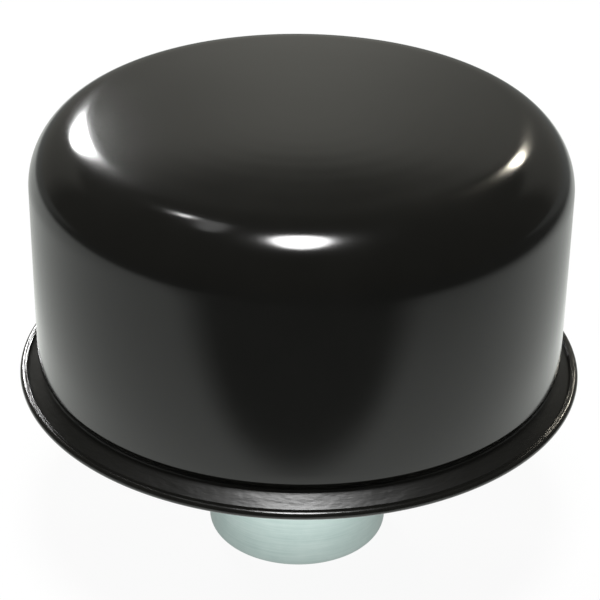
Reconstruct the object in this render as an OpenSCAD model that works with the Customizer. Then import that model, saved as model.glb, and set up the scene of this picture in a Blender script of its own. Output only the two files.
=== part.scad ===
// Push-in breather cap for an engine's valve cover.
// Origin: centre of the neck's lower end. +Z is up, along the neck and the dome. Millimetres.

/* [Drawn shell] */
// Outer diameter of the straight wall
cap_d = 72.5; // [66:0.5:84]
// Height of the whole cap, from the neck's lower end to the top of the crown
total_h = 65.1; // [60:0.1:80]
// Thickness of the shell's sheet
shell_t = 0.4; // [0.3:0.05:0.7]
// Outside radius of the shoulder between the top and the wall
shoulder_bend = 9.2; // [5:0.1:11]
// Slope of the crowned top where it meets the shoulder, in degrees
top_fall = 5; // [3:0.5:8]
// How far the wall's foot is tucked in
tuck_depth = 0.9; // [0.5:0.1:1.5]
// Height of the tuck
tuck_h = 1.2; // [1:0.1:2]
// Bend radius at the top of the tuck
tuck_bend = 1.2; // [0.6:0.1:1.6]
// Bend radius in the valley under the tuck
valley_bend = 0.7; // [0.5:0.05:0.9]
// Slope of the skirt below the valley, in degrees
skirt_fall = 36; // [28:1:42]

/* [Clinched rim] */
// How far the folded bead stands out beyond the wall
rim_overhang = 2.55; // [2:0.05:4]
// Width of the folded leaf that lies on the shell's flange
clinch_w = 0.4; // [0.3:0.05:0.6]
// Gap between the skirt's foot and the folded leaf
seam_gap = 0.17; // [0.15:0.01:0.4]

/* [Base pan] */
// Thickness of the pan's sheet
pan_t = 0.35; // [0.3:0.05:0.6]
// Height of the rim's underside above the grommet's seat
pan_depth = 4.5; // [3.5:0.1:7]
// Flat seat that is left round the neck's flange
seat_margin = 1.5; // [1:0.1:2.5]
// Height of the vented floor above the seat
seat_step = 1; // [0.6:0.1:2]
// Width of the pan's flat rim, from the wall's top to the fold
rim_shelf = 4.65; // [4:0.05:6]
// Run of the wall between the floor and the rim
pan_rise_run = 2.6; // [2:0.1:3]
// Bend radius of the pan's pressing
pan_bend = 0.8; // [0.5:0.1:1]
// Number of vent slots
vent_count = 18; // [6:3:24]
// Width of a vent slot
vent_w = 3.2; // [2:0.1:3.8]
// Floor left at each end of a vent slot
vent_margin = 1.2; // [1:0.1:2]

/* [Neck] */
// Outer diameter of the neck
neck_d = 25.4; // [22:0.1:26]
// Length of the neck below the seat
neck_len = 22; // [16:0.5:26]
// Wall of the neck
neck_t = 0.9; // [0.7:0.05:1.2]
// Outside radius of the turned-in lower edge
neck_end_bend = 1.4; // [1.3:0.1:2]
// Diameter of the opening in the turned-in end
mouth_d = 21.8; // [18:0.1:21.9]
// Width of the flange on top of the pan
neck_flange_w = 4.3; // [3.8:0.1:6]
// Middle radius of the bend between the neck and its flange
neck_flange_bend = 1; // [0.8:0.1:1.1]

/* [Filter element] */
// How far the perforated tube's outside stands beyond the seat's step
tube_stand = 1.4; // [1.3:0.1:2.5]
// Thickness of the perforated sheets
screen_t = 0.5; // [0.3:0.1:0.8]
// Diameter of the tube's holes
tube_hole_d = 3.2; // [2:0.1:3.6]
// Number of rows of holes in the tube
tube_rows = 5; // [3:1:7]
// Number of holes in a row of the tube
tube_holes = 15; // [9:3:24]
// Diameter of the ring screen's holes
ring_hole_d = 1.8; // [1:0.1:2]
// Number of holes in a row of the ring screen
ring_holes = 36; // [24:3:42]
// Number of rows of holes in the ring screen
ring_rows = 3; // [1:1:3]
// Free height between the packing's plate and the top of the crown
dome_gap = 11.25; // [10:0.25:20]
// Thickness of the plate on the packing
plate_t = 0.5; // [0.4:0.1:0.8]
// Diameter of the raised middle of the plate
plate_boss_d = 28; // [20:1:40]
// Height of the raised middle and of the turned-up edge of the plate
plate_edge_h = 1.4; // [1.2:0.1:2]

/* [Splash baffle] */
// Width of the ring that the baffle leaves open inside the tube
baffle_gap = 4.9; // [3:0.1:5]
// Thickness of the baffle's sheet
baffle_t = 0.7; // [0.5:0.1:1]
// Height of the baffle above the neck's flange
baffle_h = 8; // [6:0.5:12]
// Fall of the baffle from its flat middle to its edge
baffle_fall = 1.6; // [1:0.1:3]
// Diameter of the flat middle
baffle_flat_d = 18; // [14:0.5:20]
// Width of a leg
leg_w = 6; // [4:0.5:7]
// Length of a leg's foot
foot_len = 2.9; // [2.4:0.1:3]

/* [Fits] */
// Clearance between pieces that don't touch
fit_gap = 0.3; // [0.2:0.05:0.4]

/* [Hidden] */
$fn = 120;
// Most degrees that one straight step of a bend may turn, and the fewest steps
bend_step = 6;
bend_least = 6;
leg_count = 3;
// Radius of the flat middle of the top, and the straight run kept before the shoulder
crown_flat_r = 1;

// Heights from the neck's end up
seat_z = neck_len;
seat_mid_z = seat_z + pan_t / 2;
floor_mid_z = seat_mid_z + seat_step;
floor_top_z = floor_mid_z + pan_t / 2;
rim_low_mid_z = seat_z + pan_depth + pan_t / 2;
rim_mid_z = rim_low_mid_z + (pan_t + shell_t) / 2;
rim_high_mid_z = rim_mid_z + (pan_t + shell_t) / 2;
top_mid_z = total_h - shell_t / 2;

// The rim, from the folded bead inwards
fold_mid_r = (pan_t + shell_t) / 2;
bead_r = cap_d / 2 + rim_overhang - fold_mid_r - pan_t / 2;
leaf_r = bead_r - clinch_w;
skirt_foot_r = leaf_r - seam_gap;
flange_end_r = bead_r - shell_t / 8;

// The shell's middle line
wall_mid_r = (cap_d - shell_t) / 2;
valley_r = wall_mid_r - tuck_depth;
valley_z = rim_mid_z + (skirt_foot_r - valley_r) * tan(skirt_fall);
tuck_z = valley_z + tuck_h;
shoulder_mid_bend = shoulder_bend - shell_t / 2;
shoulder_reach = shoulder_mid_bend * tan((90 - top_fall) / 2) * cos(top_fall);
crown_reach = (wall_mid_r - shoulder_reach - 2 * crown_flat_r) / (1 + cos(top_fall));
crown_corner_r = crown_flat_r + crown_reach;
crown_bend = crown_reach / tan(top_fall / 2);
shoulder_z = top_mid_z - (wall_mid_r - crown_corner_r) * tan(top_fall);
foot_bend = shell_t * 3 / 4;

// The pan
pan_hole_r = neck_d / 2 + neck_flange_bend - neck_t / 2 + fit_gap / 3;
pan_wall_top_r = bead_r - rim_shelf;
floor_r = pan_wall_top_r - pan_rise_run;

// The neck, and the seat round it
neck_mid_r = (neck_d - neck_t) / 2;
neck_flange_r = neck_d / 2 + neck_flange_w;
seat_r = neck_flange_r + seat_margin;
floor_in_r = seat_r + seat_step;
neck_flange_z = seat_z + pan_t + neck_t / 2;
neck_top_z = seat_z + pan_t + neck_t;

// The filter element
tube_r = floor_in_r + tube_stand;
ring_in_r = tube_r + fit_gap;
ring_out_r = floor_r - pan_bend - fit_gap;
ring_top_z = floor_top_z + screen_t;
plate_z = total_h - dome_gap;
packing_r = cap_d / 2 - shell_t - fit_gap;
packing_waist_r = valley_r - shell_t / 2 - fit_gap;
plate_r = packing_r - plate_edge_h;

// The vents, between the tube and the pan's wall
vent_len = floor_r - tube_r - 2 * vent_margin;
vent_mid_r = (tube_r + floor_r) / 2;

// The baffle
baffle_z = neck_top_z + baffle_h;
foot_z = neck_top_z + baffle_t / 2;
baffle_r = tube_r - screen_t - baffle_gap;
foot_out_r = neck_flange_r - fit_gap;
leg_foot_r = foot_out_r - foot_len;
leg_top_r = leg_foot_r - baffle_t;

function unit(v) = v / norm(v);

function arc(centre, radius, from, turn) =
    let (steps = max(bend_least, ceil(abs(turn) / bend_step)))
    [for (i = [0 : steps]) centre + radius * [cos(from + turn * i / steps), sin(from + turn * i / steps)]];

// The rounded corner at b, on the way from a to c
function corner(a, b, c, bend) =
    let (
        back = unit(a - b),
        on = unit(c - b),
        half = acos(back * on) / 2,
        centre = b + unit(back + on) * bend / sin(half),
        start = b + back * bend / tan(half) - centre,
        way = back[0] * on[1] - back[1] * on[0] > 0 ? -1 : 1
    )
    arc(centre, bend, atan2(start[1], start[0]), way * (180 - 2 * half));

function place(p) = [p[0], p[1]];

// A line through corners that are each [radius, height, bend]; the two ends have no bend
function bent(corners) =
    [for (i = [0 : len(corners) - 1])
        each i == 0 || i == len(corners) - 1
            ? [place(corners[i])]
            : corner(place(corners[i - 1]), place(corners[i]), place(corners[i + 1]), corners[i][2])];

function square_to(v) = [-v[1], v[0]];

// One face of a sheet: its middle line moved sideways
function face(line, shift) =
    let (last = len(line) - 1)
    [for (i = [0 : last])
        let (
            before = square_to(unit(line[max(i, 1)] - line[max(i, 1) - 1])),
            after = square_to(unit(line[min(i, last - 1) + 1] - line[min(i, last - 1)])),
            mitre = unit(before + after)
        )
        line[i] + mitre * shift / (mitre * before)];

function reversed(line) = [for (i = [len(line) - 1 : -1 : 0]) line[i]];

// The section of a pressed sheet of even thickness along a middle line
module sheet(line, thickness) {
    polygon(concat(face(line, thickness / 2), reversed(face(line, -thickness / 2))));
}

module spun_sheet(line, thickness) {
    rotate_extrude()
        sheet(line, thickness);
}

module round_slot(length, width, height) {
    linear_extrude(height, center = true)
        union() {
            square([length - width, width], center = true);
            for (side = [-1, 1])
                translate([side * (length - width) / 2, 0])
                    circle(d = width, $fn = 32);
        }
}

module cap_shell() {
    color([0.05, 0.05, 0.05])
        spun_sheet(
            bent([
                [0, top_mid_z],
                [crown_corner_r, top_mid_z, crown_bend],
                [wall_mid_r, shoulder_z, shoulder_mid_bend],
                [wall_mid_r, tuck_z, tuck_bend],
                [valley_r, valley_z, valley_bend],
                [skirt_foot_r, rim_mid_z, foot_bend],
                [flange_end_r, rim_mid_z]
            ]),
            shell_t
        );
}

module base_pan() {
    pressing = bent([
        [pan_hole_r, seat_mid_z],
        [seat_r, seat_mid_z, pan_bend],
        [floor_in_r, floor_mid_z, pan_bend],
        [floor_r, floor_mid_z, pan_bend],
        [pan_wall_top_r, rim_low_mid_z, pan_bend],
        [bead_r, rim_low_mid_z]
    ]);
    fold = arc([bead_r, rim_mid_z], fold_mid_r, -90, 180);
    color([0.07, 0.07, 0.07])
        difference() {
            spun_sheet(
                concat(pressing, [for (i = [1 : len(fold) - 1]) fold[i]], [[leaf_r, rim_high_mid_z]]),
                pan_t
            );
            for (i = [0 : vent_count - 1])
                rotate([0, 0, (i + 0.5) * 360 / vent_count])
                    translate([vent_mid_r, 0, floor_mid_z])
                        round_slot(vent_len, vent_w, pan_t * 4);
        }
}

module neck_tube() {
    color([0.72, 0.76, 0.75])
        spun_sheet(
            bent([
                [neck_flange_r, neck_flange_z],
                [neck_mid_r, neck_flange_z, neck_flange_bend],
                [neck_mid_r, neck_t / 2, neck_end_bend - neck_t / 2],
                [mouth_d / 2, neck_t / 2]
            ]),
            neck_t
        );
}

module lower_screen() {
    row_pitch = (ring_out_r - ring_in_r) / ring_rows;
    color([0.62, 0.63, 0.64])
        translate([0, 0, floor_top_z])
            linear_extrude(screen_t)
                difference() {
                    circle(r = ring_out_r);
                    circle(r = ring_in_r);
                    for (row = [0 : ring_rows - 1], i = [0 : ring_holes - 1])
                        rotate((i + row / 2) * 360 / ring_holes)
                            translate([ring_in_r + (row + 0.5) * row_pitch, 0])
                                circle(d = ring_hole_d, $fn = 16);
                }
}

module inner_screen() {
    row_pitch = (plate_z - floor_top_z) / (tube_rows + 0.5);
    color([0.62, 0.63, 0.64])
        difference() {
            translate([0, 0, floor_top_z])
                linear_extrude(plate_z - floor_top_z)
                    difference() {
                        circle(r = tube_r);
                        circle(r = tube_r - screen_t);
                    }
            for (row = [0 : tube_rows - 1], i = [0 : tube_holes - 1])
                rotate([0, 90, (i + row / 2) * 360 / tube_holes])
                    translate([-floor_top_z - (row + 0.75) * row_pitch, 0, tube_r - screen_t * 3])
                        cylinder(d = tube_hole_d, h = screen_t * 4, $fn = 24);
        }
}

module filter_packing() {
    wall_foot = [pan_wall_top_r - pan_bend, rim_low_mid_z + pan_t / 2 + fit_gap];
    color([0.70, 0.71, 0.70])
        rotate_extrude()
            polygon([
                [tube_r + fit_gap, ring_top_z],
                [ring_out_r, ring_top_z],
                wall_foot,
                [packing_waist_r, valley_z],
                [packing_waist_r, tuck_z],
                [packing_r, tuck_z + tuck_h + tuck_bend],
                [packing_r, plate_z],
                [tube_r + fit_gap, plate_z]
            ]);
}

module packing_plate() {
    plate_mid_z = plate_z + plate_t / 2;
    boss_r = plate_boss_d / 2;
    raised_z = plate_mid_z + plate_edge_h - plate_t / 2;
    color([0.62, 0.63, 0.64])
        spun_sheet(
            bent([
                [0, raised_z],
                [boss_r, raised_z, plate_t],
                [boss_r + plate_edge_h, plate_mid_z, plate_t],
                [plate_r, plate_mid_z, plate_t],
                [plate_r, raised_z]
            ]),
            plate_t
        );
}

module splash_baffle() {
    baffle_mid_z = baffle_z - baffle_t / 2;
    color([0.66, 0.68, 0.68])
        union() {
            spun_sheet(
                bent([
                    [0, baffle_mid_z],
                    [baffle_flat_d / 2, baffle_mid_z, baffle_t * 4],
                    [baffle_r, baffle_mid_z - baffle_fall]
                ]),
                baffle_t
            );
            for (i = [0 : leg_count - 1])
                rotate([90, 0, (i + 0.5) * 360 / leg_count])
                    linear_extrude(leg_w, center = true)
                        sheet(
                            bent([
                                [foot_out_r, foot_z],
                                [leg_foot_r, foot_z, baffle_t],
                                [leg_top_r, baffle_mid_z - baffle_fall / 2]
                            ]),
                            baffle_t
                        );
        }
}

cap_shell();
base_pan();
neck_tube();
lower_screen();
inner_screen();
filter_packing();
packing_plate();
splash_baffle();
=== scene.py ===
# %% [markdown]
# A gloss black breather cap, cell by cell
#
# The real object is a push-in breather for an engine's valve cover: a deep-drawn steel dome, clinched at
# its rim to a pressed pan, on a short zinc-plated neck. Its shape is plain, so the finish does the work:
# black enamel shows almost nothing but its surroundings, and the room matters as much as the paint.
# The frame holds every piece at its real size, in metres. This file gives each its finish and, where a
# mirror-like surface needs it, a finer mesh of the same form.

# %% Load the frame
import math

import bmesh
import bpy
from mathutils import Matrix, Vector


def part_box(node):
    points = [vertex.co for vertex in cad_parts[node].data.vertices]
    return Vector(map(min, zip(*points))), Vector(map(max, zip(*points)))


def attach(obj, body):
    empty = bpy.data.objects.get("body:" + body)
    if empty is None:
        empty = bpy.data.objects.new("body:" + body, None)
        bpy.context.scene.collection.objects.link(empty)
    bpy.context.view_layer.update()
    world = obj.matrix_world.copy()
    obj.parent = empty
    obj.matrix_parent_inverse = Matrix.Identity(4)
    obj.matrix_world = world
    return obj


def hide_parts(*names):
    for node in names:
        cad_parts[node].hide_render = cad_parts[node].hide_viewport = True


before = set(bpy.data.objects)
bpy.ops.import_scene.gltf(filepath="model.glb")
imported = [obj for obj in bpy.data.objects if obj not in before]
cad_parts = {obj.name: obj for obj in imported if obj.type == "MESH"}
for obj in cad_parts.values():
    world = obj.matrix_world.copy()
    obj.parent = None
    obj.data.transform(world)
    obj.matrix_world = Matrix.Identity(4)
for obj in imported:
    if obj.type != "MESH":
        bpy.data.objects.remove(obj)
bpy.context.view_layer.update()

MM = 0.001
print("frame nodes:", sorted(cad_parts))

# %% [markdown]
# The camera
#
# A pinhole camera was fitted to the outline in the photograph: it looks down about 29 degrees from a
# distance of about 28 cm, with a slight roll. It stands on the minus Y side.

# %% Set up the camera
CAMERA_DISTANCE = 284.4 * MM
CAMERA_ELEVATION = math.radians(29.1)
CAMERA_ROLL = 0.0142
AIM_HEIGHT = 36.3 * MM
SENSOR_WIDTH = 36.0
LENS = 123.7


def add_camera():
    data = bpy.data.cameras.new("camera")
    data.sensor_width = SENSOR_WIDTH
    data.lens = LENS
    camera = bpy.data.objects.new("camera", data)
    bpy.context.scene.collection.objects.link(camera)
    away = Vector((0, -math.cos(CAMERA_ELEVATION), math.sin(CAMERA_ELEVATION)))
    camera.location = Vector((0, 0, AIM_HEIGHT)) + away * CAMERA_DISTANCE
    look = (-away).to_track_quat("-Z", "Y").to_euler()
    camera.rotation_euler = look
    camera.rotation_euler.rotate_axis("Z", CAMERA_ROLL)
    bpy.context.scene.camera = camera
    return camera


camera = add_camera()
print("camera at", tuple(round(v, 4) for v in camera.location))

# %% [markdown]
# Sheet sections
#
# Every piece here is sheet metal turned or pressed round one axis. Its section is a middle line of
# straight legs with rounded bends, given an even thickness. The bends could be bevelled in Blender, but
# gloss paint shows every uneven step, so the arcs are worked out exactly, and long legs are cut into short
# steps that keep the smooth shading even.

# %% Helpers for a bent line and a sheet's section
ARC_STEP = math.radians(4)
ARC_LEAST = 8
LEG_STEP = 1.2 * MM


def arc(centre, radius, start, turn, least=ARC_LEAST):
    steps = max(least, math.ceil(abs(turn) / ARC_STEP))
    angles = [start + turn * i / steps for i in range(steps + 1)]
    return [centre + radius * Vector((math.cos(a), math.sin(a))) for a in angles]


def rounded_corner(before, corner, after, bend):
    back = (before - corner).normalized()
    on = (after - corner).normalized()
    half = back.angle(on) / 2
    centre = corner + (back + on).normalized() * bend / math.sin(half)
    start = corner + back * bend / math.tan(half) - centre
    way = -1 if back.x * on.y - back.y * on.x > 0 else 1
    return arc(centre, bend, math.atan2(start.y, start.x), way * (math.pi - 2 * half))


def bent_line(corners):
    """corners are (radius, height, bend), in metres; the two ends have no bend."""
    spots = [Vector(c[:2]) for c in corners]
    line = [spots[0]]
    for i in range(1, len(spots) - 1):
        line += rounded_corner(spots[i - 1], spots[i], spots[i + 1], corners[i][2])
    return line + [spots[-1]]


def with_short_legs(line):
    """The same line, with its long legs cut into short ones."""
    out = [line[0]]
    for a, b in zip(line, line[1:]):
        pieces = max(1, math.ceil((b - a).length / LEG_STEP))
        out += [a.lerp(b, i / pieces) for i in range(1, pieces + 1)]
    return out


def face_line(line, shift):
    """One face of a sheet: its middle line moved sideways."""
    legs = [(b - a).normalized() for a, b in zip(line, line[1:])]
    square = [Vector((-leg.y, leg.x)) for leg in legs]
    out = []
    for i, spot in enumerate(line):
        before = square[max(i - 1, 0)]
        after = square[min(i, len(square) - 1)]
        mitre = (before + after).normalized()
        out.append(spot + mitre * shift / mitre.dot(before))
    return out


def sheet_section(line, thickness):
    line = with_short_legs(line)
    return face_line(line, thickness / 2) + face_line(line, -thickness / 2)[::-1]


# %% [markdown]
# One node tree spins every section
#
# A lathe is a rule, so Geometry Nodes is the right place for it. The section comes in as points in the
# XZ plane. A grid with one column for each point is wrapped round the Z axis: each grid point asks the
# section for its radius and height, and takes its angle from its row. Merging closes the seam and the pole.

# %% Build the lathe's node tree
SPIN_SEGMENTS = 240
MERGE = 0.5e-6
HALF_STEP = 0.5


def new_socket(tree, name, in_out, kind, default=None):
    socket = tree.interface.new_socket(name, in_out=in_out, socket_type="NodeSocket" + kind)
    if default is not None:
        socket.default_value = default
    return socket


def link_or_set(tree, value, socket):
    if isinstance(value, bpy.types.NodeSocket):
        tree.links.new(value, socket)
    else:
        socket.default_value = value


def math_node(tree, operation, a, b=None):
    node = tree.nodes.new("ShaderNodeMath")
    node.operation = operation
    link_or_set(tree, a, node.inputs[0])
    if b is not None:
        link_or_set(tree, b, node.inputs[1])
    return node.outputs[0]


def vector_step(tree, operation, a, b=None):
    node = tree.nodes.new("ShaderNodeVectorMath")
    node.operation = operation
    link_or_set(tree, a, node.inputs[0])
    if b is not None:
        link_or_set(tree, b, node.inputs[1])
    return node.outputs["Value" if operation == "LENGTH" else "Vector"]


def split_xyz(tree, vector):
    node = tree.nodes.new("ShaderNodeSeparateXYZ")
    tree.links.new(vector, node.inputs[0])
    return node.outputs


def join_xyz(tree, x=0.0, y=0.0, z=0.0):
    node = tree.nodes.new("ShaderNodeCombineXYZ")
    for socket, value in zip(node.inputs, (x, y, z)):
        link_or_set(tree, value, socket)
    return node.outputs[0]


def finish_tree(tree, geometry, material, out):
    realize = tree.nodes.new("GeometryNodeRealizeInstances")
    paint = tree.nodes.new("GeometryNodeSetMaterial")
    tree.links.new(geometry, realize.inputs[0])
    tree.links.new(realize.outputs[0], paint.inputs["Geometry"])
    tree.links.new(material, paint.inputs["Material"])
    tree.links.new(paint.outputs[0], out.inputs[0])


def lathe_tree():
    tree = bpy.data.node_groups.new("lathe", "GeometryNodeTree")
    new_socket(tree, "Section", "INPUT", "Geometry")
    new_socket(tree, "Points", "INPUT", "Int", 4)
    new_socket(tree, "Segments", "INPUT", "Int", SPIN_SEGMENTS)
    new_socket(tree, "Merge distance", "INPUT", "Float", MERGE)
    new_socket(tree, "Material", "INPUT", "Material")
    new_socket(tree, "Turned", "OUTPUT", "Geometry")
    nodes, links = tree.nodes, tree.links
    into, out = nodes.new("NodeGroupInput"), nodes.new("NodeGroupOutput")
    columns = math_node(tree, "ADD", into.outputs["Points"], 1)
    rows = math_node(tree, "ADD", into.outputs["Segments"], 1)
    grid = nodes.new("GeometryNodeMeshGrid")
    links.new(columns, grid.inputs["Vertices X"])
    links.new(rows, grid.inputs["Vertices Y"])
    index = nodes.new("GeometryNodeInputIndex").outputs[0]
    past_start = math_node(tree, "ADD", index, HALF_STEP)
    column = math_node(tree, "FLOOR", math_node(tree, "DIVIDE", past_start, rows))
    row = math_node(tree, "SUBTRACT", index, math_node(tree, "MULTIPLY", column, rows))
    last = math_node(tree, "SUBTRACT", into.outputs["Points"], HALF_STEP)
    wrapped = math_node(tree, "GREATER_THAN", column, last)
    spot = math_node(
        tree, "SUBTRACT", column, math_node(tree, "MULTIPLY", into.outputs["Points"], wrapped))
    turn = math_node(tree, "DIVIDE", row, into.outputs["Segments"])
    angle = math_node(tree, "MULTIPLY", turn, math.tau)
    sample = nodes.new("GeometryNodeSampleIndex")
    sample.data_type = "FLOAT_VECTOR"
    links.new(into.outputs["Section"], sample.inputs["Geometry"])
    links.new(nodes.new("GeometryNodeInputPosition").outputs[0], sample.inputs["Value"])
    links.new(spot, sample.inputs["Index"])
    radius, _, height = split_xyz(tree, sample.outputs[0])
    place = join_xyz(
        tree,
        math_node(tree, "MULTIPLY", radius, math_node(tree, "COSINE", angle)),
        math_node(tree, "MULTIPLY", radius, math_node(tree, "SINE", angle)),
        height)
    move = nodes.new("GeometryNodeSetPosition")
    links.new(grid.outputs["Mesh"], move.inputs["Geometry"])
    links.new(place, move.inputs["Position"])
    merge = nodes.new("GeometryNodeMergeByDistance")
    links.new(move.outputs[0], merge.inputs["Geometry"])
    links.new(into.outputs["Merge distance"], merge.inputs["Distance"])
    smooth = nodes.new("GeometryNodeSetShadeSmooth")
    links.new(merge.outputs[0], smooth.inputs["Geometry"])
    finish_tree(tree, smooth.outputs[0], into.outputs["Material"], out)
    return tree


LATHE = lathe_tree()
print("lathe tree:", len(LATHE.nodes), "nodes")

# %% Helpers that run a node tree and keep its result as a plain mesh
SHARP = math.radians(35)


def mesh_object(name, spots, edges=(), faces=()):
    mesh = bpy.data.meshes.new(name)
    mesh.from_pydata([tuple(s) for s in spots], list(edges), list(faces))
    piece = bpy.data.objects.new(name, mesh)
    bpy.context.scene.collection.objects.link(piece)
    return piece


def run_tree(piece, tree, **values):
    """Puts the tree on the piece, sets its named inputs and keeps the result as a plain mesh."""
    modifier = piece.modifiers.new(tree.name, "NODES")
    modifier.node_group = tree
    for item in tree.interface.items_tree:
        name = item.name.replace(" ", "_").lower()
        if name in values:
            modifier[item.identifier] = values[name]
    keep_result(piece)


def keep_result(piece):
    bpy.context.view_layer.update()
    evaluated = piece.evaluated_get(bpy.context.evaluated_depsgraph_get())
    mesh = bpy.data.meshes.new_from_object(evaluated)
    old = piece.data
    piece.modifiers.clear()
    piece.data = mesh
    mesh.name = piece.name
    bpy.data.meshes.remove(old)


def face_outwards(piece):
    work = bmesh.new()
    work.from_mesh(piece.data)
    bmesh.ops.recalc_face_normals(work, faces=work.faces)
    work.to_mesh(piece.data)
    work.free()


def spin_piece(name, section, material):
    piece = mesh_object(name, [(s.x, 0, s.y) for s in section])
    run_tree(piece, LATHE, points=len(section), segments=SPIN_SEGMENTS,
             merge_distance=MERGE, material=material)
    face_outwards(piece)
    piece.data.set_sharp_from_angle(angle=SHARP)
    return piece


def report(piece):
    piece.data.calc_loop_triangles()
    size = [round(v / MM, 2) for v in piece.dimensions]
    print(piece.name, "mm:", size, "triangles:", len(piece.data.loop_triangles))


# %% [markdown]
# Shared surface effects
#
# Two effects serve several finishes, so each is a shader node group. One is a soft ripple, which is orange
# peel on paint and a cast look on plating, by its scale. The other is fine streaks that run round the axis,
# as drawing dies and rollers leave them: noise that is stretched round the piece and tight along it.

# %% Build the shared shader groups
FINE_SCALE = 2.7
FINE_SHARE = 0.35


def shader_group(name, inputs, outputs):
    tree = bpy.data.node_groups.new(name, "ShaderNodeTree")
    for label, kind, default in inputs:
        new_socket(tree, label, "INPUT", kind, default)
    for label, kind in outputs:
        new_socket(tree, label, "OUTPUT", kind)
    return tree, tree.nodes.new("NodeGroupInput").outputs, tree.nodes.new("NodeGroupOutput").inputs


def noise(tree, vector, scale, detail=2.0, roughness=0.5):
    node = tree.nodes.new("ShaderNodeTexNoise")
    link_or_set(tree, vector, node.inputs["Vector"])
    link_or_set(tree, scale, node.inputs["Scale"])
    node.inputs["Detail"].default_value = detail
    node.inputs["Roughness"].default_value = roughness
    return node.outputs["Fac"]


def object_coordinates(tree):
    return tree.nodes.new("ShaderNodeTexCoord").outputs["Object"]


def flat_length(tree, x, y):
    """The distance from the Z axis."""
    squares = math_node(
        tree, "ADD", math_node(tree, "MULTIPLY", x, x), math_node(tree, "MULTIPLY", y, y))
    return math_node(tree, "POWER", squares, 0.5)


def ripple_group():
    tree, into, out = shader_group(
        "surface ripple",
        [("Scale", "Float", 900.0), ("Contrast", "Float", 1.0)],
        [("Height", "Float")],
    )
    spot = object_coordinates(tree)
    broad = noise(tree, spot, into["Scale"], detail=1.0)
    fine = noise(tree, spot, math_node(tree, "MULTIPLY", into["Scale"], FINE_SCALE), detail=2.0)
    mixed = math_node(tree, "ADD", broad, math_node(tree, "MULTIPLY", fine, FINE_SHARE))
    tree.links.new(math_node(tree, "MULTIPLY", mixed, into["Contrast"]), out["Height"])
    return tree


def streaks_group():
    tree, into, out = shader_group(
        "streaks round the axis",
        [("Lines per metre", "Float", 4000.0), ("Runs per turn", "Float", 6.0)],
        [("Streaks", "Float")],
    )
    x, y, z = split_xyz(tree, object_coordinates(tree))
    around = math_node(tree, "ARCTAN2", y, x)
    along = math_node(tree, "ADD", flat_length(tree, x, y), z)
    wave = math_node(tree, "MULTIPLY", into["Runs per turn"], 1 / math.tau)
    place = join_xyz(
        tree,
        math_node(tree, "MULTIPLY", math_node(tree, "SINE", around), wave),
        math_node(tree, "MULTIPLY", math_node(tree, "COSINE", around), wave),
        math_node(tree, "MULTIPLY", along, into["Lines per metre"]))
    tree.links.new(noise(tree, place, 1.0, detail=3.0, roughness=0.6), out["Streaks"])
    return tree


RIPPLE = ripple_group()
STREAKS = streaks_group()
print("shader groups:", RIPPLE.name, "and", STREAKS.name)

# %% Helpers for a finish
def new_finish(name, **constants):
    """A material with one Principled shader whose plain sockets are set here, directly."""
    material = bpy.data.materials.new(name)
    material.use_nodes = True
    shader = material.node_tree.nodes["Principled BSDF"]
    for label, value in constants.items():
        shader.inputs[label.replace("_", " ")].default_value = value
    return material, material.node_tree, shader.inputs


def use_group(tree, group, **values):
    node = tree.nodes.new("ShaderNodeGroup")
    node.node_tree = group
    for label, value in values.items():
        link_or_set(tree, value, node.inputs[label.replace("_", " ")])
    return node.outputs[0]


def between(tree, mask, low, high):
    """A number that goes from low to high as the mask goes from 0 to 1."""
    node = tree.nodes.new("ShaderNodeMapRange")
    link_or_set(tree, mask, node.inputs["Value"])
    node.inputs["To Min"].default_value = low
    node.inputs["To Max"].default_value = high
    return node.outputs["Result"]


def two_colours(tree, mask, low, high, start=0.3, end=0.7):
    ramp = tree.nodes.new("ShaderNodeValToRGB")
    link_or_set(tree, mask, ramp.inputs[0])
    for stop, place, colour in zip(ramp.color_ramp.elements, (start, end), (low, high)):
        stop.position = place
        stop.color = (*colour, 1)
    return ramp.outputs[0]


def bump(tree, height, distance, strength=1.0, normal=None):
    node = tree.nodes.new("ShaderNodeBump")
    node.inputs["Distance"].default_value = distance
    node.inputs["Strength"].default_value = strength
    tree.links.new(height, node.inputs["Height"])
    if normal is not None:
        tree.links.new(normal, node.inputs["Normal"])
    return node.outputs[0]


# %% [markdown]
# Black enamel
#
# Baked enamel on smooth steel: nearly black, with a faint brown-green cast, and a gloss that is just soft
# enough to blur a lamp's edge. The colour alone would look like plastic, so the finish carries a little
# orange peel, handling smudges that change the roughness, and finer streaks where the rollers folded the rim.

# %% Mix the enamel
ENAMEL_DARK = (0.0060, 0.0060, 0.0052)
ENAMEL_LIGHT = (0.0085, 0.0084, 0.0074)
SHELL_ROUGHNESS = (0.10, 0.17)
PAN_ROUGHNESS = (0.14, 0.24)
SMUDGE_SCALE = 60.0
PEEL_SCALE = 420.0
PEEL_DEPTH = 0.0012 * MM
PAN_PEEL_DEPTH = 0.0018 * MM
ROLLER_DEPTH = 0.10 * MM
ROLLER_LINES = 2600.0
ROLLED_DULLER = 0.20
ROLLER_RUNS = 46.0
SKIRT_TOP = 29.0 * MM
BEAD_DEPTH = 0.05 * MM
BEAD_FOOT = 26.9 * MM


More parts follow.
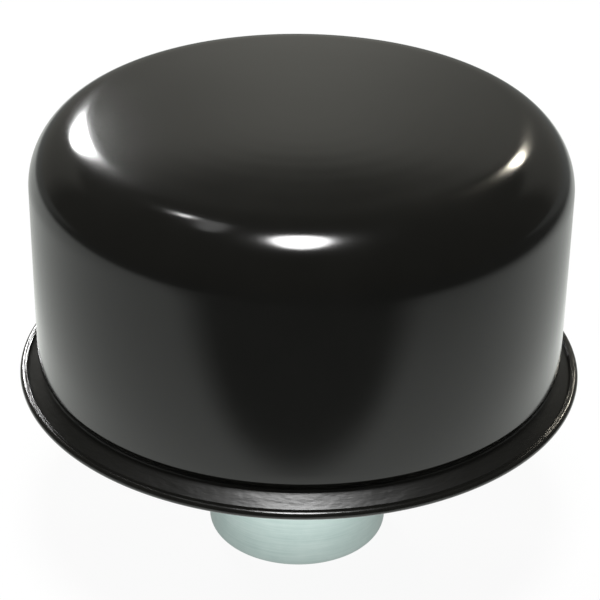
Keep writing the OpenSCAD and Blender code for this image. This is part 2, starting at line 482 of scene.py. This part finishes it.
def enamel(name, rough, peel, marks, duller=0.0):
    """marks is the depth of the roller marks, with the lowest and highest places that carry them."""
    depth, lowest, highest = marks
    material, tree, sockets = new_finish(name, IOR=1.5)
    spot = object_coordinates(tree)
    smudge = noise(tree, spot, SMUDGE_SCALE, detail=4.0, roughness=0.6)
    tree.links.new(two_colours(tree, smudge, ENAMEL_DARK, ENAMEL_LIGHT), sockets["Base Color"])
    height = split_xyz(tree, spot)["Z"]
    rolled = math_node(
        tree, "MULTIPLY",
        math_node(tree, "GREATER_THAN", height, lowest),
        math_node(tree, "LESS_THAN", height, highest))
    rougher = math_node(tree, "MULTIPLY", rolled, duller)
    tree.links.new(
        math_node(tree, "ADD", between(tree, smudge, *rough), rougher), sockets["Roughness"])
    lines = use_group(tree, STREAKS, Lines_per_metre=ROLLER_LINES, Runs_per_turn=ROLLER_RUNS)
    smooth = bump(tree, use_group(tree, RIPPLE, Scale=PEEL_SCALE), peel)
    marked = bump(tree, math_node(tree, "MULTIPLY", lines, rolled), depth, normal=smooth)
    tree.links.new(marked, sockets["Normal"])
    return material


shell_enamel = enamel(
    "black_enamel", SHELL_ROUGHNESS, PEEL_DEPTH, (ROLLER_DEPTH, 0.0, SKIRT_TOP), ROLLED_DULLER)
pan_enamel = enamel(
    "pan_enamel", PAN_ROUGHNESS, PAN_PEEL_DEPTH, (BEAD_DEPTH, BEAD_FOOT, SKIRT_TOP))
print("enamels:", shell_enamel.name, pan_enamel.name)

# %% [markdown]
# Plated and bare metal
#
# The neck is steel with clear zinc plating: a pale, blue-green white metal with a satin sheen and faint
# lines from drawing. The pieces inside are plain rolled sheet and galvanised wire.

# %% Mix the metals
CLOUD_SCALE = 240.0
DRAWN_LINES = 5200.0
DRAWN_RUNS = 10.0


def plated_metal(name, low, high, rough, line_depth):
    material, tree, sockets = new_finish(name, Metallic=1.0)
    cloud = noise(tree, object_coordinates(tree), CLOUD_SCALE, detail=4.0, roughness=0.55)
    streak = use_group(tree, STREAKS, Lines_per_metre=DRAWN_LINES, Runs_per_turn=DRAWN_RUNS)
    mask = math_node(tree, "MULTIPLY", math_node(tree, "ADD", cloud, streak), 0.5)
    tree.links.new(two_colours(tree, mask, low, high), sockets["Base Color"])
    tree.links.new(between(tree, mask, *rough), sockets["Roughness"])
    tree.links.new(bump(tree, streak, line_depth), sockets["Normal"])
    return material


zinc = plated_metal(
    "zinc", low=(0.56, 0.70, 0.69), high=(0.75, 0.87, 0.86), rough=(0.26, 0.40), line_depth=0.006 * MM)
bare_steel = plated_metal(
    "bare_steel", low=(0.42, 0.42, 0.41), high=(0.58, 0.58, 0.57), rough=(0.30, 0.48),
    line_depth=0.004 * MM)
wire_metal = plated_metal(
    "wire", low=(0.52, 0.53, 0.52), high=(0.70, 0.71, 0.70), rough=(0.25, 0.40), line_depth=0.001 * MM)
print("metals:", zinc.name, bare_steel.name, wire_metal.name)

# %% [markdown]
# The drawn shell
#
# One stamping: a slightly crowned top, a soft shoulder, a straight wall, a tuck at its foot where the rim
# was formed, a sloping skirt and a flat flange that lies in the pan's fold. The frame gives its height and
# its flange; the bends are the drawing's own, and the shoulder's is 0.4 mm tighter than the frame's,
# which follows the photograph's outline more closely.

# %% Make the shell
SHELL_T = 0.4 * MM
WALL_R = 36.25 * MM
SHOULDER_BEND = 8.8 * MM
TOP_FALL = math.radians(5)
CROWN_FLAT_R = 1.0 * MM
TUCK_DEPTH = 0.9 * MM
TUCK_H = 1.2 * MM
TUCK_BEND = 1.2 * MM
VALLEY_BEND = 0.7 * MM
SKIRT_FALL = math.radians(36)
SEAM_GAP = 0.17 * MM
CLINCH_W = 0.4 * MM
FLANGE_GAP = SHELL_T / 8
FLANGE_BEND = SHELL_T * 3 / 4

shell_low, shell_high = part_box("cap_shell")
rim_mid_z = shell_low.z + SHELL_T / 2
bead_r = shell_high.x + FLANGE_GAP
leaf_r = bead_r - CLINCH_W


def shell_line():
    top_z = shell_high.z - SHELL_T / 2
    wall_r = WALL_R - SHELL_T / 2
    foot_r = leaf_r - SEAM_GAP
    valley_r = wall_r - TUCK_DEPTH
    valley_z = rim_mid_z + (foot_r - valley_r) * math.tan(SKIRT_FALL)
    bend = SHOULDER_BEND - SHELL_T / 2
    reach = bend * math.tan((math.pi / 2 - TOP_FALL) / 2) * math.cos(TOP_FALL)
    crown_reach = (wall_r - reach - 2 * CROWN_FLAT_R) / (1 + math.cos(TOP_FALL))
    crown_r = CROWN_FLAT_R + crown_reach
    return bent_line([
        (0, top_z),
        (crown_r, top_z, crown_reach / math.tan(TOP_FALL / 2)),
        (wall_r, top_z - (wall_r - crown_r) * math.tan(TOP_FALL), bend),
        (wall_r, valley_z + TUCK_H, TUCK_BEND),
        (valley_r, valley_z, VALLEY_BEND),
        (foot_r, rim_mid_z, FLANGE_BEND),
        (shell_high.x, rim_mid_z),
    ])


shell = spin_piece("drawn_shell", sheet_section(shell_line(), SHELL_T), shell_enamel)
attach(shell, "root")
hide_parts("cap_shell")
report(shell)

# %% [markdown]
# The base pan
#
# The pan's edge is folded over the shell's flange, which makes the bead that is the rim's outermost line.
# Its floor has a recessed seat for the grommet and a ring of slots for the air. The slots are punched with
# a Boolean, because they cross the pressed floor at a right angle, as a real punch does.

# %% Make the pan
PAN_T = 0.35 * MM
PAN_BEND = 0.8 * MM
RIM_SHELF = 4.65 * MM
PAN_RISE_RUN = 2.6 * MM
SEAT_STEP = 1.0 * MM
SEAT_R = 18.5 * MM
PAN_HOLE_R = 13.35 * MM
TUBE_STAND = 1.4 * MM
VENT_COUNT = 18
VENT_W = 3.2 * MM
VENT_MARGIN = 1.2 * MM
VENT_END_STEPS = 10
PUNCH_REACH = 2 * PAN_T
FOLD_STEPS = 24

pan_low, pan_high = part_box("base_pan")
fold_r = (PAN_T + SHELL_T) / 2
floor_in_r = SEAT_R + SEAT_STEP
wall_top_r = bead_r - RIM_SHELF
floor_r = wall_top_r - PAN_RISE_RUN
floor_z = pan_low.z + PAN_T / 2 + SEAT_STEP


def pan_line():
    pressing = bent_line([
        (PAN_HOLE_R, pan_low.z + PAN_T / 2),
        (SEAT_R, pan_low.z + PAN_T / 2, PAN_BEND),
        (floor_in_r, floor_z, PAN_BEND),
        (floor_r, floor_z, PAN_BEND),
        (wall_top_r, rim_mid_z - fold_r, PAN_BEND),
        (bead_r, rim_mid_z - fold_r),
    ])
    fold = arc(Vector((bead_r, rim_mid_z)), fold_r, -math.pi / 2, math.pi, least=FOLD_STEPS)
    return pressing + fold[1:] + [Vector((leaf_r, rim_mid_z + fold_r))]


def vent_punches():
    """A ring of upright slot-shaped prisms."""
    length = floor_r - (floor_in_r + TUBE_STAND) - 2 * VENT_MARGIN
    middle = (floor_r + floor_in_r + TUBE_STAND) / 2
    outline = []
    for end in (1, -1):
        for i in range(VENT_END_STEPS + 1):
            a = math.pi * (i / VENT_END_STEPS - 0.5)
            along = end * ((length - VENT_W) / 2 + VENT_W / 2 * math.cos(a))
            outline.append((middle + along, end * VENT_W / 2 * math.sin(a)))
    spots, faces = [], []
    n = len(outline)
    for k in range(VENT_COUNT):
        turn = (k + 0.5) * math.tau / VENT_COUNT
        cos, sin = math.cos(turn), math.sin(turn)
        low = len(spots)
        high = low + n
        for height in (floor_z - PUNCH_REACH, floor_z + PUNCH_REACH):
            spots += [(x * cos - y * sin, x * sin + y * cos, height) for x, y in outline]
        faces.append([low + i for i in range(n)][::-1])
        faces.append([high + i for i in range(n)])
        faces += [[low + i, low + (i + 1) % n, high + (i + 1) % n, high + i] for i in range(n)]
    return mesh_object("vent_punches", spots, faces=faces)


pan = spin_piece("clinched_pan", sheet_section(pan_line(), PAN_T), pan_enamel)
punches = vent_punches()
cut = pan.modifiers.new("vents", "BOOLEAN")
cut.operation = "DIFFERENCE"
cut.solver = "EXACT"
cut.object = punches
keep_result(pan)
bpy.data.objects.remove(punches)
pan.data.set_sharp_from_angle(angle=SHARP)
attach(pan, "root")
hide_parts("base_pan")
report(pan)

# %% [markdown]
# The neck
#
# A drawn tube with a flange at its top, under the baffle, and its lower edge turned in to a soft corner so
# that it slides into the grommet.

# %% Make the neck
NECK_T = 0.9 * MM
NECK_R = 12.7 * MM
NECK_END_BEND = 1.4 * MM
NECK_FLANGE_BEND = 1.0 * MM
NECK_LIP = 0.9 * MM

neck_low, neck_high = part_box("neck_tube")


def neck_line():
    middle_r = NECK_R - NECK_T / 2
    flange_z = neck_high.z - NECK_T / 2
    end_z = neck_low.z + NECK_T / 2
    return bent_line([
        (neck_high.x, flange_z),
        (middle_r, flange_z, NECK_FLANGE_BEND),
        (middle_r, end_z, NECK_END_BEND - NECK_T / 2),
        (NECK_R - NECK_T - NECK_LIP, end_z),
    ])


neck = spin_piece("plated_neck", sheet_section(neck_line(), NECK_T), zinc)
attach(neck, "root")
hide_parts("neck_tube")
report(neck)

# %% [markdown]
# The wire packing
#
# The filter is a ring of knitted wire. Modelling each stitch would be wasted behind a perforated sheet, so
# it is a stack of thin wire rings in several layers, which a noise field pushes out of line. The rule is
# simple: circles on a line of points, moved by noise, then swept with a round section.

# %% Knit the packing
WIRE_R = 0.14 * MM
WIRE_LAYERS = 5
WIRE_ROWS = 24
WIRE_STEPS = 110
WIRE_WANDER = 0.9 * MM
WIRE_NOISE = 420.0
WIRE_SIDES = 4
WIRE_SEED = 3.0
NOISE_MIDDLE = (0.5, 0.5, 0.5)

pack_low, pack_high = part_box("filter_packing")
PACK_INNER_R = 21.2 * MM


def packing_tree():
    tree = bpy.data.node_groups.new("wire packing", "GeometryNodeTree")
    for name, kind, default in (
        ("Rings", "Geometry", None),
        ("Steps", "Int", WIRE_STEPS),
        ("Wire radius", "Float", WIRE_R),
        ("Wander", "Float", WIRE_WANDER),
        ("Noise scale", "Float", WIRE_NOISE),
        ("Seed", "Float", WIRE_SEED),
        ("Material", "Material", None),
    ):
        new_socket(tree, name, "INPUT", kind, default)
    new_socket(tree, "Packing", "OUTPUT", "Geometry")
    nodes, links = tree.nodes, tree.links
    into, out = nodes.new("NodeGroupInput"), nodes.new("NodeGroupOutput")
    ring = nodes.new("GeometryNodeCurvePrimitiveCircle")
    links.new(into.outputs["Steps"], ring.inputs["Resolution"])
    ring.inputs["Radius"].default_value = 1.0
    radius = split_xyz(tree, nodes.new("GeometryNodeInputPosition").outputs[0])["X"]
    keep_radius = nodes.new("GeometryNodeInstanceOnPoints")
    links.new(into.outputs["Rings"], keep_radius.inputs["Points"])
    links.new(ring.outputs["Curve"], keep_radius.inputs["Instance"])
    links.new(join_xyz(tree, radius, radius, 1.0), keep_radius.inputs["Scale"])
    centred = nodes.new("GeometryNodeTranslateInstances")
    links.new(keep_radius.outputs[0], centred.inputs["Instances"])
    back = join_xyz(tree, math_node(tree, "MULTIPLY", radius, -1.0))
    links.new(back, centred.inputs["Translation"])
    centred.inputs["Local Space"].default_value = False
    real = nodes.new("GeometryNodeRealizeInstances")
    links.new(centred.outputs[0], real.inputs[0])
    field = nodes.new("ShaderNodeTexNoise")
    field.noise_dimensions = "4D"
    links.new(nodes.new("GeometryNodeInputPosition").outputs[0], field.inputs["Vector"])
    links.new(into.outputs["Noise scale"], field.inputs["Scale"])
    links.new(into.outputs["Seed"], field.inputs["W"])
    push = vector_step(tree, "SUBTRACT", field.outputs["Color"], NOISE_MIDDLE)
    span = math_node(tree, "MULTIPLY", into.outputs["Wander"], 2.0)
    move = nodes.new("GeometryNodeSetPosition")
    links.new(real.outputs[0], move.inputs["Geometry"])
    links.new(vector_step(tree, "MULTIPLY", push, span), move.inputs["Offset"])
    section = nodes.new("GeometryNodeCurvePrimitiveCircle")
    section.inputs["Resolution"].default_value = WIRE_SIDES
    links.new(into.outputs["Wire radius"], section.inputs["Radius"])
    sweep = nodes.new("GeometryNodeCurveToMesh")
    links.new(move.outputs[0], sweep.inputs["Curve"])
    links.new(section.outputs["Curve"], sweep.inputs["Profile Curve"])
    finish_tree(tree, sweep.outputs[0], into.outputs["Material"], out)
    return tree


def ring_spots():
    """One point for each ring, with its radius as X and its height as Z."""
    room = WIRE_WANDER + WIRE_R
    inner, outer = PACK_INNER_R + room, pack_high.x - room
    low, high = pack_low.z + room, pack_high.z - room
    layer_step = (outer - inner) / (WIRE_LAYERS - 1)
    row_step = (high - low) / (WIRE_ROWS - 1)
    return [
        (inner + layer_step * layer, 0, low + row_step * row)
        for layer in range(WIRE_LAYERS) for row in range(WIRE_ROWS)
    ]


packing = mesh_object("knitted_packing", ring_spots())
run_tree(packing, packing_tree(), steps=WIRE_STEPS, wire_radius=WIRE_R, wander=WIRE_WANDER,
         noise_scale=WIRE_NOISE, seed=WIRE_SEED, material=wire_metal)
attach(packing, "root")
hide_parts("filter_packing")
report(packing)

# %% [markdown]
# The pieces inside
#
# The perforated sheets, the plate and the baffle are right as the frame has them, so they only get their
# metal. They show through the vents and up the neck.

# %% Finish the frame's own pieces
for name, material in (
    ("lower_screen", bare_steel),
    ("inner_screen", bare_steel),
    ("packing_plate", bare_steel),
    ("splash_baffle", zinc),
):
    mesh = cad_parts[name].data
    mesh.materials.clear()
    mesh.materials.append(material)
    print(name, "is", material.name)

# %% [markdown]
# The floor and the room
#
# The floor is a pale sheet. The camera sees nearly all of its own white, with a trace of the cap's shadow.
# Gloss paint mirrors it too, and there an even white would look false: a real sheet is brightest close to
# the cap, fades with distance, and is dark in front, where whoever takes the picture stands in the light.
# So reflections see a floor with that light and shade painted into its glow: a painted pool of light close
# to the cap that fades with distance, a painted shadow in front, a painted shadow of the cap round the neck
# and a faint painted glow behind. From below it is clear, so the pan can be looked at. The room round it is
# dim, with a paler band low down behind the cap that gives the top its grey.

# %% Build the floor and the world
FLOOR_HALF = 1.5
FLOOR_SHOWN = 0.94
# The floor's glow in reflections is painted light and shade: a painted pool of light near the cap, painted
# shadows in front and round the neck, and a faint painted glow behind.
NEAR_PAINTED_LIGHT = 0.50
FAR_GLOW = 0.62
NEAR_R = 80 * MM
NEAR_FALL = 15 * MM
FADE_CENTRE = (-60 * MM, 60 * MM, 0)
FADE_FROM, FADE_TO = 180 * MM, 285 * MM
FRONT_SHADOW_CENTRE = (0, -150 * MM, 0)
FRONT_SHADOW_SIZE = (1 / (80 * MM), 1 / (62 * MM), 0)
FRONT_SHADOW_EDGE = 0.97
FRONT_SHADOW_SOFT = 0.15
FRONT_SHADOW_SOFTER = 10.0
FRONT_SHADOW_LEAST = 0.06
NECK_SHADE_CENTRE = (0, 14 * MM, 0)
NECK_SHADE = (18 * MM, 50 * MM)
BEHIND = (90 * MM, 260 * MM)
BEHIND_PAINTED_LIGHT = 0.22
NECK_SHADE_LEAST = 0.30
ROOM_LIGHT = 0.075
BAND_LIGHT = 0.20
BAND_MIDDLE = 0.27
BAND_SPREAD = 0.13
BAND_TOP = (0.475, 0.548)
BAND_SIDE = (0.45, 0.68)
BAND_RISE = (0.15, 0.50)
BAND_LOW = 0.72
PAPER = (0.9, 0.9, 0.9, 1)
MIRRORED_TINT = (0.97, 1.0, 0.96, 1)
ROOM_TINT = (1.0, 0.99, 0.90, 1)
WHITE = (1, 1, 1, 1)


def stage_card(name, corners, material):
    card = mesh_object(name, corners, faces=[range(len(corners))])
    card.data.materials.append(material)
    return card


def smooth_step(tree, value, start, end, low=0.0, high=1.0):
    node = tree.nodes.new("ShaderNodeMapRange")
    node.interpolation_type = "SMOOTHSTEP"
    link_or_set(tree, value, node.inputs["Value"])
    for label, number in (("From Min", start), ("From Max", end), ("To Min", low), ("To Max", high)):
        link_or_set(tree, number, node.inputs[label])
    return node.outputs["Result"]


def mix_shaders(tree, mask, first, second):
    node = tree.nodes.new("ShaderNodeMixShader")
    for socket, value in zip(node.inputs, (mask, first, second)):
        tree.links.new(value, socket)
    return node.outputs[0]


def distance_from(tree, spot, centre):
    return vector_step(tree, "LENGTH", vector_step(tree, "SUBTRACT", spot, centre))


def painted_floor_light(tree):
    """How bright the floor looks in a reflection: painted light and shade, not lamps."""
    spot = object_coordinates(tree)
    # A painted pool of light close to the cap.
    away = vector_step(tree, "LENGTH", spot)
    fall = math_node(tree, "DIVIDE", math_node(tree, "SUBTRACT", NEAR_R, away), NEAR_FALL)
    near = math_node(tree, "MINIMUM", math_node(tree, "EXPONENT", fall), 1.0)
    level = math_node(tree, "ADD", math_node(tree, "MULTIPLY", near, NEAR_PAINTED_LIGHT), FAR_GLOW)
    # A painted fade of the floor's light with distance.
    fade = smooth_step(tree, distance_from(tree, spot, FADE_CENTRE), FADE_FROM, FADE_TO, 1.0, 0.0)
    # A painted shadow in front, where whoever takes the picture stands in the light.
    offset = vector_step(tree, "SUBTRACT", spot, FRONT_SHADOW_CENTRE)
    ring = vector_step(tree, "LENGTH", vector_step(tree, "MULTIPLY", offset, FRONT_SHADOW_SIZE))
    past = math_node(tree, "MAXIMUM", math_node(tree, "SUBTRACT", away, NEAR_R), 0.0)
    soft = math_node(tree, "ADD", math_node(tree, "MULTIPLY", past, FRONT_SHADOW_SOFTER), FRONT_SHADOW_SOFT)
    edge = math_node(tree, "ADD", soft, FRONT_SHADOW_EDGE)
    painted_front_shadow = smooth_step(tree, ring, FRONT_SHADOW_EDGE, edge, FRONT_SHADOW_LEAST, 1.0)
    # A painted shadow of the cap on the floor round the neck.
    painted_neck_shadow = smooth_step(
        tree, distance_from(tree, spot, NECK_SHADE_CENTRE), *NECK_SHADE, NECK_SHADE_LEAST, 1.0)
    for factor in (fade, painted_front_shadow, painted_neck_shadow):
        level = math_node(tree, "MULTIPLY", level, factor)
    # A faint painted glow on the floor behind the cap.
    behind = smooth_step(tree, split_xyz(tree, spot)["Y"], *BEHIND, ROOM_LIGHT, BEHIND_PAINTED_LIGHT)
    return math_node(tree, "ADD", level, behind)


def floor_material():
    material = bpy.data.materials.new("pale_floor")
    material.use_nodes = True
    tree = material.node_tree
    tree.nodes.clear()
    paper = tree.nodes.new("ShaderNodeBsdfDiffuse")
    paper.inputs["Color"].default_value = PAPER
    white = tree.nodes.new("ShaderNodeEmission")
    mirrored = tree.nodes.new("ShaderNodeEmission")
    mirrored.inputs["Color"].default_value = MIRRORED_TINT
    # Reflections see the floor's painted light and shade.
    tree.links.new(painted_floor_light(tree), mirrored.inputs["Strength"])
    rays = tree.nodes.new("ShaderNodeLightPath").outputs
    seen = math_node(tree, "ADD", rays["Is Camera Ray"], rays["Is Transmission Ray"])
    shown = mix_shaders(
        tree, math_node(tree, "MULTIPLY", seen, FLOOR_SHOWN), paper.outputs[0], white.outputs[0])
    from_above = mix_shaders(tree, rays["Is Glossy Ray"], shown, mirrored.outputs[0])
    below = tree.nodes.new("ShaderNodeNewGeometry").outputs["Backfacing"]
    clear = tree.nodes.new("ShaderNodeBsdfTransparent").outputs[0]
    out = tree.nodes.new("ShaderNodeOutputMaterial")
    tree.links.new(mix_shaders(tree, below, from_above, clear), out.inputs[0])
    return material


floor = stage_card("floor", [
    (-FLOOR_HALF, -FLOOR_HALF, 0),
    (FLOOR_HALF, -FLOOR_HALF, 0),
    (FLOOR_HALF, FLOOR_HALF, 0),
    (-FLOOR_HALF, FLOOR_HALF, 0),
], floor_material())


def build_room():
    world = bpy.data.worlds.new("room")
    bpy.context.scene.world = world
    world.use_nodes = True
    tree = world.node_tree
    x, y, z = split_xyz(tree, tree.nodes.new("ShaderNodeTexCoord").outputs["Generated"])
    flat = flat_length(tree, x, y)
    behind = math_node(tree, "DIVIDE", y, flat)
    aside = math_node(tree, "DIVIDE", math_node(tree, "DIVIDE", x, flat), BAND_SPREAD)
    bell = math_node(tree, "EXPONENT", math_node(
        tree, "MULTIPLY", math_node(tree, "MULTIPLY", aside, aside), -1.0))
    side = smooth_step(tree, behind, *BAND_SIDE)
    top = smooth_step(tree, z, *BAND_TOP, 1.0, 0.0)
    rise = smooth_step(tree, z, *BAND_RISE, BAND_LOW, 1.0)
    band = math_node(tree, "ADD", BAND_LIGHT, math_node(tree, "MULTIPLY", bell, BAND_MIDDLE))
    for factor in (side, top, rise, math_node(tree, "GREATER_THAN", y, 0.0)):
        band = math_node(tree, "MULTIPLY", band, factor)
    light = math_node(tree, "ADD", band, ROOM_LIGHT)
    room = tree.nodes["Background"]
    room.inputs["Color"].default_value = ROOM_TINT
    tree.links.new(light, room.inputs["Strength"])
    white = tree.nodes.new("ShaderNodeBackground")
    white.inputs["Color"].default_value = WHITE
    seen = tree.nodes.new("ShaderNodeLightPath").outputs["Is Camera Ray"]
    mix = mix_shaders(tree, seen, room.outputs[0], white.outputs[0])
    tree.links.new(mix, tree.nodes["World Output"].inputs["Surface"])
    return world


room = build_room()
print("stage:", floor.name, "and", room.name)

# %% [markdown]
# The lamps
#
# Each highlight on the dome is a mirror image of one lamp, so each lamp's direction was worked out from
# where its image lies: one softbox nearly overhead, smaller ones behind to the left and right, and two
# faint ones high on the left.

# %% Hang the lamps
TARGET = Vector((0, 0, 60 * MM))
LAMP_DISTANCE = 1.0
WARM = (1, 0.93, 0.78)


def towards(azimuth, elevation):
    """Azimuth 0 is the camera's side and 90 is the right."""
    a, e = math.radians(azimuth), math.radians(elevation)
    return Vector((math.sin(a) * math.cos(e), -math.cos(a) * math.cos(e), math.sin(e)))


def softbox(name, azimuth, elevation, size, power, colour=(1, 1, 1)):
    data = bpy.data.lights.new(name, "AREA")
    data.shape = "ELLIPSE"
    data.size, data.size_y = size
    data.energy = power
    data.color = colour
    lamp = bpy.data.objects.new(name, data)
    bpy.context.scene.collection.objects.link(lamp)
    way = towards(azimuth, elevation)
    lamp.location = TARGET + way * LAMP_DISTANCE
    lamp.rotation_euler = way.to_track_quat("Z", "Y").to_euler()
    return lamp


lamps = [
    softbox("overhead", azimuth=0, elevation=79.2, size=(0.27, 0.42), power=9.5),
    softbox("back_left", azimuth=-158, elevation=25, size=(0.25, 0.17), power=4.4),
    softbox("back_right", azimuth=155, elevation=30, size=(0.15, 0.08), power=1.2, colour=WARM),
    softbox("left_high", azimuth=-133, elevation=62, size=(0.05, 0.05), power=0.3),
    softbox("left_smear", azimuth=-112, elevation=70, size=(0.34, 0.12), power=0.16),
]
print("lamps:", [lamp.name for lamp in lamps])

# %% Colour handling
bpy.context.scene.view_settings.view_transform = "Standard"
